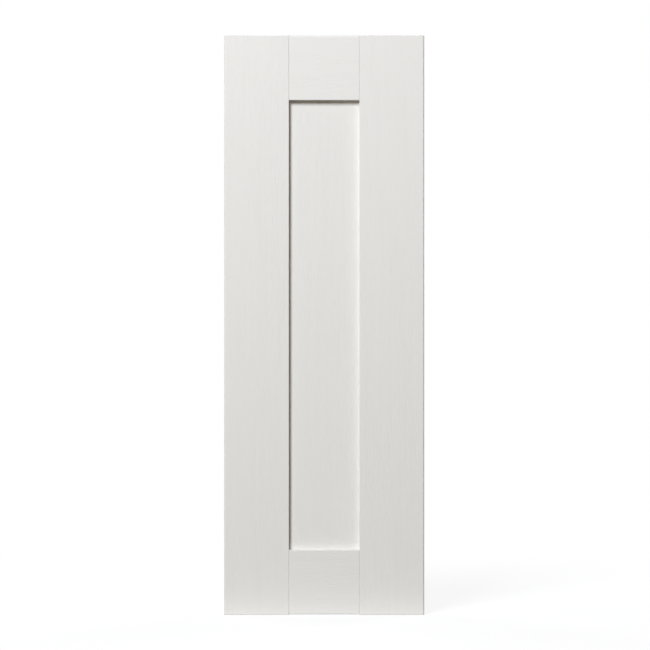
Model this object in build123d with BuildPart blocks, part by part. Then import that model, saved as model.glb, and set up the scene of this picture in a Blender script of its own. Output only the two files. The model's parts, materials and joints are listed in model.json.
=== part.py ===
"""Five-piece kitchen cabinet door with a flat centre panel.

Two full-height stiles and two rails make a square-cornered frame. The rails have tongues that
glue into the stiles' panel grooves, with two fluted dowels in each joint. The panel sits in the
groove all round, and strips close the cut ends of the stiles. The back of the left stile is
bored for two cup hinges.

The frame is +X to the right as seen from the front, -Y to the front and +Z up, in millimetres.
The origin is at the middle of the door's lower end.
"""

import os

from build123d import *

# Door and frame
door_width = 247.0
door_height = 715.0
door_thickness = 22.0
stile_width = 80.0
rail_width = 80.0
bottom_rail_trim = 0.8

# Wrapped edges of the frame pieces
outer_front_radius = 2.0
outer_back_radius = 1.0
inner_edge_radius = 0.7

# Strips on the stile ends
edging_thickness = 1.0
edging_radius = 0.5

# Panel and its groove
panel_thickness = 6.0
groove_depth = 10.0
panel_edge_clearance = 1.0
panel_chamfer = 0.5

# Rail ends: an eased edge against each stile, front and back, and tongues
shoulder_chamfer = 0.3
tongue_end_clearance = 0.5
tongue_chamfer = 0.5

# Dowels, in pairs
dowel_diameter = 8.0
dowel_past_groove = 12.0
dowel_in_rail = 18.0
dowel_end_clearance = 1.0
dowel_chamfer = 1.0
dowel_spacing = 32.0
dowel_pair_inset = 36.0
flute_count = 10
flute_depth = 0.4

# Hinge boring in the back of the left stile
cup_diameter = 35.0
cup_depth = 13.0
cup_side_inset = 22.5
cup_end_inset = 100.0
screw_offset = 9.5
screw_spacing = 45.0
pilot_diameter = 3.0
pilot_depth = 10.0

# Places that follow from the sizes
front_y = -door_thickness / 2
back_y = door_thickness / 2
opening_width = door_width - 2 * stile_width
opening_bottom = rail_width
opening_top = door_height - rail_width
core_bottom = edging_thickness
core_top = door_height - edging_thickness
panel_in_groove = groove_depth - panel_edge_clearance
tongue_length = groove_depth - tongue_end_clearance
tongue_outer = rail_width - max(edging_thickness, bottom_rail_trim)
dowel_in_stile = groove_depth + dowel_past_groove
dowel_length = dowel_in_stile + dowel_in_rail
dowel_x = (opening_width + dowel_in_stile - dowel_in_rail) / 2
dowel_heights = [
    pair_height + step * dowel_spacing / 2
    for pair_height in (dowel_pair_inset, door_height - dowel_pair_inset)
    for step in (-1, 1)
]
dowel_centres = [(side * dowel_x, 0, height) for side in (-1, 1) for height in dowel_heights]
cup_x = cup_side_inset - door_width / 2
hinge_planes = [
    Plane(origin=(cup_x, back_y, height), x_dir=(1, 0, 0), z_dir=(0, 1, 0))
    for height in (cup_end_inset, door_height - cup_end_inset)
]


def stile_plane(side, height):
    """Plane across a stile, side -1 for the left one: x runs front to back and y outwards."""
    return Plane(
        origin=(side * opening_width / 2, 0, height), x_dir=(0, 1, 0), z_dir=(0, 0, -side)
    )


def rail_plane(end, height):
    """Plane across a rail, end -1 for the bottom one: x runs front to back and y outwards."""
    return Plane(origin=(0, 0, height), x_dir=(0, 1, 0), z_dir=(end, 0, 0))


def bar_section(plane, width, trim=0, grooved=True):
    """Section of a stile or rail, whose inner edge is at y = 0 on the plane.

    The trim is cut square off the finished bar's outer edge.
    """
    with BuildSketch(plane) as section:
        with BuildLine():
            FilletPolyline(
                (front_y, 0),
                (back_y, 0),
                (back_y, width),
                (front_y, width),
                radius=(inner_edge_radius, inner_edge_radius, outer_back_radius, outer_front_radius),
                close=True,
            )
        make_face()
        if grooved:
            with Locations((0, groove_depth / 2)):
                Rectangle(panel_thickness, groove_depth, mode=Mode.SUBTRACT)
        if trim:
            with Locations((0, width - trim / 2)):
                Rectangle(door_thickness, trim, mode=Mode.SUBTRACT)
    return section.sketch


def tongue_section(plane):
    """Section of a rail's tongues, from its groove's floor out to the strip on the stile end."""
    with BuildSketch(plane) as section:
        with Locations((0, (groove_depth + tongue_outer) / 2)):
            Rectangle(panel_thickness, tongue_outer - groove_depth)
    return section.sketch


# Bore for one dowel, through stile and rail alike, with room at both ends
with BuildPart() as dowel_bore:
    Cylinder(dowel_diameter / 2, dowel_length + 2 * dowel_end_clearance, rotation=(0, 90, 0))

# Stiles, the left one bored for the hinges
with BuildPart() as left_stile:
    left_section = bar_section(stile_plane(-1, core_bottom), stile_width)
    extrude(left_section, amount=core_top - core_bottom, dir=(0, 0, 1))
    with Locations(*dowel_centres):
        add(dowel_bore.part, mode=Mode.SUBTRACT)
    with Locations(*hinge_planes):
        Hole(cup_diameter / 2, cup_depth)
        with Locations((screw_offset, -screw_spacing / 2), (screw_offset, screw_spacing / 2)):
            Hole(pilot_diameter / 2, pilot_depth)
left_stile.part.label = "left_stile"

with BuildPart() as right_stile:
    right_section = bar_section(stile_plane(1, core_bottom), stile_width)
    extrude(right_section, amount=core_top - core_bottom, dir=(0, 0, 1))
    with Locations(*dowel_centres):
        add(dowel_bore.part, mode=Mode.SUBTRACT)
right_stile.part.label = "right_stile"

pieces = [left_stile, right_stile]

# Rails, each with eased corners and a tongue on both ends
rail_data = (
    ("top_rail", rail_plane(1, opening_top), 0),
    ("bottom_rail", rail_plane(-1, opening_bottom), bottom_rail_trim),
)
for name, plane, trim in rail_data:
    with BuildPart() as rail:
        extrude(bar_section(plane, rail_width, trim), amount=opening_width / 2, both=True)
        with BuildSketch() as eased_corners:
            with GridLocations(opening_width, door_thickness, 2, 2):
                RegularPolygon(shoulder_chamfer, side_count=4)
        extrude(eased_corners.sketch, amount=door_height, mode=Mode.SUBTRACT)
        extrude(tongue_section(plane), amount=opening_width / 2 + tongue_length, both=True)
        faces_across = rail.faces().filter_by(Axis.X).group_by(Axis.X)
        tongue_ends = faces_across[0] + faces_across[-1]
        chamfer(tongue_ends.edges().filter_by(Axis.Z), tongue_chamfer)
        with Locations(*dowel_centres):
            add(dowel_bore.part, mode=Mode.SUBTRACT)
    rail.part.label = name
    pieces.append(rail)

# Centre panel, a little smaller than the groove floors
with BuildPart() as centre_panel:
    with Locations((0, 0, (opening_bottom + opening_top) / 2)):
        Box(
            opening_width + 2 * panel_in_groove,
            panel_thickness,
            opening_top - opening_bottom + 2 * panel_in_groove,
        )
    chamfer(centre_panel.edges().filter_by(Axis.Y, reverse=True), panel_chamfer)
centre_panel.part.label = "centre_panel"
pieces.append(centre_panel)

# Dowels, fluted along their length and chamfered at both ends
with BuildPart() as dowel:
    Cylinder(dowel_diameter / 2, dowel_length, rotation=(0, 90, 0))
    chamfer(dowel.edges().filter_by(GeomType.CIRCLE), dowel_chamfer)
    with BuildSketch(Plane.YZ.offset(-dowel_length / 2)):
        with PolarLocations(dowel_diameter / 2, flute_count):
            RegularPolygon(flute_depth, side_count=4)
    extrude(amount=dowel_length, mode=Mode.SUBTRACT)

with BuildPart() as joint_dowels:
    with Locations(*dowel_centres):
        add(dowel.part)
joint_dowels.part.label = "joint_dowels"
pieces.append(joint_dowels)

# Strips on the stile ends, each rounded about its outer face
for side, side_name in ((-1, "left"), (1, "right")):
    for outer_face, end_name, height in ((0, "bottom", 0), (-1, "top", core_top)):
        with BuildPart() as edging:
            edging_section = bar_section(stile_plane(side, height), stile_width, grooved=False)
            extrude(edging_section, amount=edging_thickness, dir=(0, 0, 1))
            fillet(edging.faces().sort_by(Axis.Z)[outer_face].edges(), edging_radius)
        edging.part.label = f"{side_name}_stile_{end_name}_edging"
        pieces.append(edging)

os.makedirs("parts", exist_ok=True)
for piece in pieces:
    export_step(piece.part, f"parts/{piece.part.label}.step")
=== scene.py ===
"""Looks of the five-piece kitchen cabinet door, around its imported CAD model.

The door stands upright with its front towards -Y. Lengths are in metres and powers in watts.
Tones are linear colours, and shades are what a tone is multiplied by.
"""

import json

import bpy
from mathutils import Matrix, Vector


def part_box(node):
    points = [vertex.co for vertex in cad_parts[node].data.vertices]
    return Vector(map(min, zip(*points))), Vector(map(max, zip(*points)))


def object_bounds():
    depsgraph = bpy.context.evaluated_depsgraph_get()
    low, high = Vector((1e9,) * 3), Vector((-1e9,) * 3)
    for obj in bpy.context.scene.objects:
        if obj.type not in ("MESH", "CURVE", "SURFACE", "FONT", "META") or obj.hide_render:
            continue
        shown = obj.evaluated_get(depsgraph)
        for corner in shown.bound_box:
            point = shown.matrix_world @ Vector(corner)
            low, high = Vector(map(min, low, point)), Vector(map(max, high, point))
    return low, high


WHITE = (1.0, 1.0, 1.0)

# Satin foil on the frame pieces and the panel, and which way its grain runs on each
FOIL_TONE = (0.745, 0.7345, 0.702)
GRAIN_ALONG = {
    "left_stile": "Z",
    "right_stile": "Z",
    "top_rail": "X",
    "bottom_rail": "X",
    "centre_panel": "Z",
}

# The foil's woodgrain: layers of noise, each with the length and width of its marks
PORES = {"size": (0.015, 0.0008), "detail": 1.0}
FIBRES = {"size": (0.030, 0.0005), "detail": 2.0}
STREAKS = {"size": (0.10, 0.0045), "detail": 4.0, "roughness": 0.65}
FIGURE = {"size": (0.45, 0.030), "detail": 2.0, "distortion": 0.6}
FIBRE_DEPTH = 0.000012
STREAK_SHADES = (1.0225, 0.9775)

# Pores are pressed in where their noise rises through its range. The figure and the streaks add
# to it, so that pores crowd together in some places and leave others nearly smooth.
PORE_RANGE = (0.56, 0.68)
FIGURE_RANGE = (0.38, 0.62)
FIGURE_CROWDING = (-0.05, 0.05)
STREAK_RANGE = (0.35, 0.65)
STREAK_CROWDING = (-0.04, 0.04)

# The foil beside the pores and in them. In the pores it is a little darker: partly their own tone
# and partly painted shade in the pits
PORE_TONE_AND_PAINTED_SHADE = (1.0, 0.985)
PORE_ROUGHNESS = (0.42, 0.55)
PORE_DEPTH = 0.000056

# Smooth satin strips on the stile ends, a little lighter than the foil: partly their own tone and
# partly a painted highlight along the ends
EDGING_TONE_AND_HIGHLIGHT = (0.765, 0.754, 0.721)
EDGING_MOTTLE = {"scale": 900.0, "detail": 3.0}
EDGING_SHADES = (0.985, 1.0)
EDGING_RANGE = (0.3, 0.7)
EDGING_ROUGHNESS = (0.36, 0.44)
EDGING_DEPTH = 0.00001

# Raw fibreboard, which is what lies deeper than the skin inside a wrapped piece
SKIN = 0.002
BOARD_TONE = (0.42, 0.29, 0.175)
BOARD_FIBRES = {"scale": 1400.0, "detail": 6.0, "roughness": 0.7}
BOARD_CLOUDS = {"scale": 160.0, "detail": 2.0}
FIBRE_SHARE = 0.7
CLOUD_SHARE = 0.3
BOARD_RANGE = (0.35, 0.65)
BOARD_SHADES = (0.72, 1.2)
BOARD_ROUGHNESS = 0.85
BOARD_DEPTH = 0.0001

# Marks that the hinge drill leaves in a cup: rings on its floor and a dimple at its centre
RING_SPACING = 0.0009
RING_DETAIL = 2.0
RING_RANGE = (0.3, 0.7)
RING_SHADES = (0.9, 1.06)
RING_DEPTH = 0.00006
DIMPLE_RADIUS = 0.0016
# Painted shade: the dimple is darker towards its centre
DIMPLE_PAINTED_SHADE = (0.6, 1.0)
DIMPLE_DEPTH = 0.0009

# Plain beech of the dowels: fibres, with short flecks over them
BEECH_TONE = (0.62, 0.41, 0.23)
BEECH_FIBRES = {"size": (0.010, 0.0005), "detail": 4.0, "roughness": 0.6}
BEECH_FLECKS = {"size": (0.003, 0.0004), "detail": 2.0}
FLECK_RANGE = (0.3, 0.6)
FLECK_SHADES = (0.8, 1.0)
BEECH_RANGE = (0.3, 0.65)
BEECH_SHADES = (0.75, 1.1)
BEECH_ROUGHNESS = 0.6
BEECH_DEPTH = 0.00005

# Camera, square on to the front from far away
PHOTO_SIZE = 650
METRES_PER_PIXEL = 0.0012338
DOOR_CENTRE_PIXEL = (324.2, 325.1)
CAMERA_DISTANCE = 3.5
SENSOR_WIDTH = 36.0

# Key light, in front of the door, up and to the left
KEY_TOWARDS = (-0.388, -1.0, 0.697)
KEY_DISTANCE = 4.55
KEY_SIZE = (1.45, 1.90)
KEY_WATTS = 233.2
KEY_TONE = (0.95, 0.9865, 1.039)

# Two lamps behind the door: this is the way to the right one, and the left one mirrors it
BACK_TOWARDS = (1.0, 1.1, 0.3)
BACK_DISTANCE = 2.6
BACK_SIZE = (1.1, 1.1)
BACK_WATTS = 45.0
BACK_TONE = (0.95, 0.985, 1.04)

# Light that comes up from a strip of the surface just in front of the door's foot
BOUNCE_LIFT = 0.0004
BOUNCE_DEPTH = 0.031
BOUNCE_DOOR_WIDTHS = 1.2
BOUNCE_WATTS = 0.012

# Weak warm light from the room
FILL_TONE = (1.0, 0.67, 0.35)
FILL_STRENGTH = 0.075

# Floor. The first tone is what it throws back at the door. To the camera, its glow and the light
# on its other tone add up to white, and between the fade's distances it runs out into plain white.
FLOOR_SIZE = 12.0
FLOOR_TONE = (0.17, 0.13, 0.09)
FLOOR_SHADOW_TONE = (0.16, 0.16, 0.16)
FLOOR_GLOW = 0.84
FLOOR_FADE = (0.4, 1.0)


def new_material(name):
    """A new node material, with its tree and its Principled shader."""
    material = bpy.data.materials.new(name)
    material.use_nodes = True
    tree = material.node_tree
    return material, tree, tree.nodes["Principled BSDF"]


def empty_tree(owner):
    """The node tree of a new material or world, with nothing in it."""
    owner.use_nodes = True
    owner.node_tree.nodes.clear()
    return owner.node_tree


def feed(tree, node, values):
    """Give a node's inputs, in their order, a socket to read or a constant."""
    for target, value in zip(node.inputs, values):
        if isinstance(value, bpy.types.NodeSocket):
            tree.links.new(value, target)
        else:
            target.default_value = value


def arithmetic(tree, operation, *values):
    """A math node on sockets or numbers."""
    node = tree.nodes.new("ShaderNodeMath")
    node.operation = operation
    feed(tree, node, values)
    return node.outputs["Value"]


def vector_math(tree, operation, *values):
    """A vector math node on sockets or constant vectors."""
    node = tree.nodes.new("ShaderNodeVectorMath")
    node.operation = operation
    feed(tree, node, values)
    return node.outputs["Value" if operation == "LENGTH" else "Vector"]


def map_range(tree, value, source=(0.0, 1.0), target=(0.0, 1.0)):
    """The value moved from the source range to the target range, and held within it."""
    node = tree.nodes.new("ShaderNodeMapRange")
    feed(tree, node, (value, *source, *target))
    return node.outputs["Result"]


def object_places(tree):
    """Where a point is on the door."""
    return tree.nodes.new("ShaderNodeTexCoord").outputs["Object"]


def noise(tree, places, scale, detail, roughness=0.5, distortion=0.0):
    """Noise from 0 to 1 over the places."""
    node = tree.nodes.new("ShaderNodeTexNoise")
    tree.links.new(places, node.inputs["Vector"])
    node.inputs["Scale"].default_value = scale
    node.inputs["Detail"].default_value = detail
    node.inputs["Roughness"].default_value = roughness
    node.inputs["Distortion"].default_value = distortion
    return node.outputs["Fac"]


def grain(tree, along, size, detail, roughness=0.5, distortion=0.0):
    """Noise in marks of the size's length and width, lying along "X" or "Z"."""
    length, width = size
    node = tree.nodes.new("ShaderNodeMapping")
    tree.links.new(object_places(tree), node.inputs["Vector"])
    node.inputs["Scale"].default_value = [
        1.0 / length if axis == along else 1.0 / width for axis in "XYZ"
    ]
    return noise(tree, node.outputs["Vector"], 1.0, detail, roughness, distortion)


def toned(tree, tone, shade):
    """The tone, lighter or darker by the shade."""
    node = tree.nodes.new("ShaderNodeVectorMath")
    node.operation = "SCALE"
    node.inputs[0].default_value = tone
    tree.links.new(shade, node.inputs["Scale"])
    return node.outputs["Vector"]


def bump_on(tree, normal, height, depth, sunk=False):
    """The normal, bent by a height from 0 to 1 that stands up or is sunk in by the depth."""
    node = tree.nodes.new("ShaderNodeBump")
    node.invert = sunk
    node.inputs["Distance"].default_value = depth
    tree.links.new(height, node.inputs["Height"])
    if normal is not None:
        tree.links.new(normal, node.inputs["Normal"])
    return node.outputs["Normal"]


def foil_material(name, along):
    """Satin foil with a fine pressed woodgrain running along "X" or "Z"."""
    material, tree, shader = new_material(name)
    pores = grain(tree, along, **PORES)
    fibres = grain(tree, along, **FIBRES)
    streaks = grain(tree, along, **STREAKS)
    figure = grain(tree, along, **FIGURE)

    by_figure = map_range(tree, figure, FIGURE_RANGE, FIGURE_CROWDING)
    by_streak = map_range(tree, streaks, STREAK_RANGE, STREAK_CROWDING)
    crowding = arithmetic(tree, "ADD", by_figure, by_streak)
    pits = map_range(tree, arithmetic(tree, "ADD", pores, crowding), PORE_RANGE)

    # Darker in the pores: partly their own tone and partly painted shade in the pits
    pore_tone_and_painted_shade = map_range(tree, pits, target=PORE_TONE_AND_PAINTED_SHADE)
    streak_shade = map_range(tree, streaks, target=STREAK_SHADES)
    shade = arithmetic(tree, "MULTIPLY", pore_tone_and_painted_shade, streak_shade)
    roughness = map_range(tree, pits, target=PORE_ROUGHNESS)
    normal = bump_on(tree, None, fibres, FIBRE_DEPTH)
    normal = bump_on(tree, normal, pits, PORE_DEPTH, sunk=True)
    tree.links.new(toned(tree, FOIL_TONE, shade), shader.inputs["Base Color"])
    tree.links.new(roughness, shader.inputs["Roughness"])
    tree.links.new(normal, shader.inputs["Normal"])
    return material


def edging_material():
    """Smooth satin edging strip, faintly mottled, whose lighter tone holds a painted highlight."""
    material, tree, shader = new_material("edging_strip")
    mottle = noise(tree, object_places(tree), **EDGING_MOTTLE)
    shade = map_range(tree, mottle, target=EDGING_SHADES)
    roughness = map_range(tree, mottle, EDGING_RANGE, EDGING_ROUGHNESS)
    normal = bump_on(tree, None, mottle, EDGING_DEPTH)
    # The strip's tone is lighter than the foil's, partly as a painted highlight
    tree.links.new(toned(tree, EDGING_TONE_AND_HIGHLIGHT, shade), shader.inputs["Base Color"])
    tree.links.new(roughness, shader.inputs["Roughness"])
    tree.links.new(normal, shader.inputs["Normal"])
    return material


def distance_from_cups(tree, cup_centres):
    """How far a point is from the nearest hinge cup's axis, which runs along Y."""
    places = object_places(tree)
    distances = []
    for centre in cup_centres:
        offset = vector_math(tree, "SUBTRACT", places, centre)
        across = vector_math(tree, "MULTIPLY", offset, (1.0, 0.0, 1.0))
        distances.append(vector_math(tree, "LENGTH", across))
    nearest = distances[0]
    for distance in distances[1:]:
        nearest = arithmetic(tree, "MINIMUM", nearest, distance)
    return nearest


def board_material(cup_centres):
    """Raw fibreboard, as the drill leaves it in the hinge bores, with painted shade in the dimple
    at each cup's centre.
    """
    material, tree, shader = new_material("raw_fibreboard")
    fibres = noise(tree, object_places(tree), **BOARD_FIBRES)
    clouds = noise(tree, object_places(tree), **BOARD_CLOUDS)
    clouds = arithmetic(tree, "MULTIPLY", clouds, CLOUD_SHARE)
    mottle = arithmetic(tree, "MULTIPLY_ADD", fibres, FIBRE_SHARE, clouds)

    distance = distance_from_cups(tree, cup_centres)
    outwards = tree.nodes.new("ShaderNodeCombineXYZ")
    tree.links.new(distance, outwards.inputs["X"])
    rings = noise(tree, outwards.outputs["Vector"], 1.0 / RING_SPACING, RING_DETAIL)
    dimple = map_range(tree, distance, (0.0, DIMPLE_RADIUS))

    mottle_shade = map_range(tree, mottle, BOARD_RANGE, BOARD_SHADES)
    ring_shade = map_range(tree, rings, RING_RANGE, RING_SHADES)
    # Painted shade, darker towards the centre of the dimple
    dimple_painted_shade = map_range(tree, dimple, target=DIMPLE_PAINTED_SHADE)
    shade = arithmetic(tree, "MULTIPLY", mottle_shade, ring_shade)
    shade = arithmetic(tree, "MULTIPLY", shade, dimple_painted_shade)
    normal = bump_on(tree, None, dimple, DIMPLE_DEPTH)
    normal = bump_on(tree, normal, rings, RING_DEPTH)
    normal = bump_on(tree, normal, fibres, BOARD_DEPTH)
    tree.links.new(toned(tree, BOARD_TONE, shade), shader.inputs["Base Color"])
    shader.inputs["Roughness"].default_value = BOARD_ROUGHNESS
    tree.links.new(normal, shader.inputs["Normal"])
    return material


def beech_material():
    """Plain beech for the dowels, grain along X."""
    material, tree, shader = new_material("beech")
    fibres = grain(tree, "X", **BEECH_FIBRES)
    flecks = map_range(tree, grain(tree, "X", **BEECH_FLECKS), FLECK_RANGE, FLECK_SHADES)
    flecked = arithmetic(tree, "MULTIPLY", fibres, flecks)
    shade = map_range(tree, flecked, BEECH_RANGE, BEECH_SHADES)
    normal = bump_on(tree, None, fibres, BEECH_DEPTH)
    tree.links.new(toned(tree, BEECH_TONE, shade), shader.inputs["Base Color"])
    shader.inputs["Roughness"].default_value = BEECH_ROUGHNESS
    tree.links.new(normal, shader.inputs["Normal"])
    return material


def paint(node, material):
    """Give the whole of a CAD node one material."""
    node.data.materials.clear()
    node.data.materials.append(material)
    for face in node.data.polygons:
        face.material_index = 0


def paint_wrapped(node, name, foil, board):
    """Foil on the outside of a CAD node, and bare board on what is cut into it."""
    paint(node, foil)
    node.data.materials.append(board)
    low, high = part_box(name)
    for face in node.data.polygons:
        centre = face.center
        depth = min(min(centre[axis] - low[axis], high[axis] - centre[axis]) for axis in range(3))
        face.material_index = 1 if depth > SKIN else 0


def paint_door(nodes, cup_centres):
    """Give every CAD node its material."""
    foils = {"Z": foil_material("upright_foil", "Z"), "X": foil_material("level_foil", "X")}
    board = board_material(cup_centres)
    edging = edging_material()
    for name, along in GRAIN_ALONG.items():
        paint_wrapped(nodes[name], name, foils[along], board)
    for name in nodes:
        if name.endswith("_edging"):
            paint(nodes[name], edging)
    paint(nodes["joint_dowels"], beech_material())


def aim(thing, place, target):
    """Put a camera or lamp at a place, looking at the target."""
    thing.location = place
    thing.rotation_mode = "QUATERNION"
    thing.rotation_quaternion = (Vector(target) - Vector(place)).to_track_quat("-Z", "Y")


def make_camera(low, high):
    """Long lens, square on to the front, framed as in the photograph."""
    middle = PHOTO_SIZE / 2
    centre = (low + high) / 2
    offset_x = (middle - DOOR_CENTRE_PIXEL[0]) * METRES_PER_PIXEL
    offset_z = (DOOR_CENTRE_PIXEL[1] - middle) * METRES_PER_PIXEL
    data = bpy.data.cameras.new("camera")
    data.sensor_width = SENSOR_WIDTH
    data.lens = SENSOR_WIDTH * CAMERA_DISTANCE / (PHOTO_SIZE * METRES_PER_PIXEL)
    camera = bpy.data.objects.new("camera", data)
    bpy.context.scene.collection.objects.link(camera)
    target = Vector((centre.x + offset_x, low.y, centre.z + offset_z))
    aim(camera, target - Vector((0, CAMERA_DISTANCE, 0)), target)
    bpy.context.scene.camera = camera


def area_light(name, place, target, size, watts, tone):
    """A soft rectangular lamp that no camera ray sees."""
    data = bpy.data.lights.new(name, "AREA")
    data.shape = "RECTANGLE"
    data.size = size[0]
    data.size_y = size[1]
    data.energy = watts
    data.color = tone
    lamp = bpy.data.objects.new(name, data)
    lamp.visible_camera = False
    bpy.context.scene.collection.objects.link(lamp)
    aim(lamp, place, target)
    return lamp


def make_lights(low, high):
    """Key, two lamps behind, and the bounce of the surface that the door stands on."""
    centre = (low + high) / 2
    place = centre + Vector(KEY_TOWARDS).normalized() * KEY_DISTANCE
    area_light("key", place, centre, KEY_SIZE, KEY_WATTS, KEY_TONE)

    # The lamps behind would show in the door's outer edges as a glare, so they aren't reflected
    for side, side_name in ((-1, "left"), (1, "right")):
        towards = Vector((side * BACK_TOWARDS[0], BACK_TOWARDS[1], BACK_TOWARDS[2]))
        place = centre + towards.normalized() * BACK_DISTANCE
        lamp = area_light(f"back_{side_name}", place, centre, BACK_SIZE, BACK_WATTS, BACK_TONE)
        lamp.visible_glossy = False

    place = Vector((centre.x, low.y - BOUNCE_DEPTH / 2, low.z + BOUNCE_LIFT))
    size = ((high.x - low.x) * BOUNCE_DOOR_WIDTHS, BOUNCE_DEPTH)
    area_light("foot_bounce", place, place + Vector((0, 0, 1)), size, BOUNCE_WATTS, WHITE)


def plain_shader(tree, kind, tone, strength=None):
    """A shader of one tone, and of one strength where it gives light."""
    node = tree.nodes.new(kind)
    node.inputs["Color"].default_value = (*tone, 1.0)
    if strength is not None:
        node.inputs["Strength"].default_value = strength
    return node.outputs[0]


def mix_shaders(tree, factor, first, second):
    """The first shader where the factor is 0, and the second where it is 1."""
    node = tree.nodes.new("ShaderNodeMixShader")
    feed(tree, node, (factor, first, second))
    return node.outputs[0]


def direct_rays(tree):
    """1 for rays that show the background: from the camera, off metal or through glass."""
    path = tree.nodes.new("ShaderNodeLightPath").outputs
    seen = arithmetic(tree, "MAXIMUM", path["Is Camera Ray"], path["Is Glossy Ray"])
    return arithmetic(tree, "MAXIMUM", seen, path["Is Transmission Ray"])


def make_world():
    """White to the camera and in reflections, and a weak warm fill on the door."""
    world = bpy.data.worlds.new("studio")
    bpy.context.scene.world = world
    tree = empty_tree(world)
    fill = plain_shader(tree, "ShaderNodeBackground", FILL_TONE, FILL_STRENGTH)
    white = plain_shader(tree, "ShaderNodeBackground", WHITE, 1.0)
    output = tree.nodes.new("ShaderNodeOutputWorld")
    tree.links.new(mix_shaders(tree, direct_rays(tree), fill, white), output.inputs["Surface"])


def floor_material():
    """White to the camera outside the door's shadow, and a dim warm bounce on the door."""
    material = bpy.data.materials.new("floor")
    tree = empty_tree(material)
    bounce = plain_shader(tree, "ShaderNodeBsdfDiffuse", FLOOR_TONE)
    shadowed = plain_shader(tree, "ShaderNodeBsdfDiffuse", FLOOR_SHADOW_TONE)
    glow = plain_shader(tree, "ShaderNodeEmission", WHITE, FLOOR_GLOW)
    white = plain_shader(tree, "ShaderNodeEmission", WHITE, 1.0)
    near = tree.nodes.new("ShaderNodeAddShader")
    feed(tree, near, (glow, shadowed))
    reach = vector_math(tree, "LENGTH", object_places(tree))
    seen = mix_shaders(tree, map_range(tree, reach, FLOOR_FADE), near.outputs[0], white)
    output = tree.nodes.new("ShaderNodeOutputMaterial")
    tree.links.new(mix_shaders(tree, direct_rays(tree), bounce, seen), output.inputs["Surface"])
    return material


def make_floor(height):
    """Floor that the door stands on."""
    half = FLOOR_SIZE / 2
    corners = [(x * half, y * half, height) for x, y in ((-1, -1), (1, -1), (1, 1), (-1, 1))]
    mesh = bpy.data.meshes.new("floor")
    mesh.from_pydata(corners, [], [(0, 1, 2, 3)])
    mesh.materials.append(floor_material())
    floor = bpy.data.objects.new("floor", mesh)
    bpy.context.scene.collection.objects.link(floor)


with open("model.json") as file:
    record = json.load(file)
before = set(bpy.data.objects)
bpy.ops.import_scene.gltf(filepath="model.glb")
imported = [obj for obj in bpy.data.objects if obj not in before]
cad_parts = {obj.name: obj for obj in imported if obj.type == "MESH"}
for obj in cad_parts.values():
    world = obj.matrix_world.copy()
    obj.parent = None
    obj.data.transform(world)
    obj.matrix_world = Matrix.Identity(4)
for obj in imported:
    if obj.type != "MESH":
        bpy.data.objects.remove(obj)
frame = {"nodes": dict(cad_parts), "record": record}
cad_low, cad_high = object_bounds()
mounts = frame["record"]["mounts"]

bpy.context.scene.view_settings.view_transform = "Standard"
make_camera(cad_low, cad_high)
make_world()
make_lights(cad_low, cad_high)
make_floor(cad_low.z)
paint_door(frame["nodes"], [mount["pos_m"] for mount in mounts if mount["kind"] == "bore"])
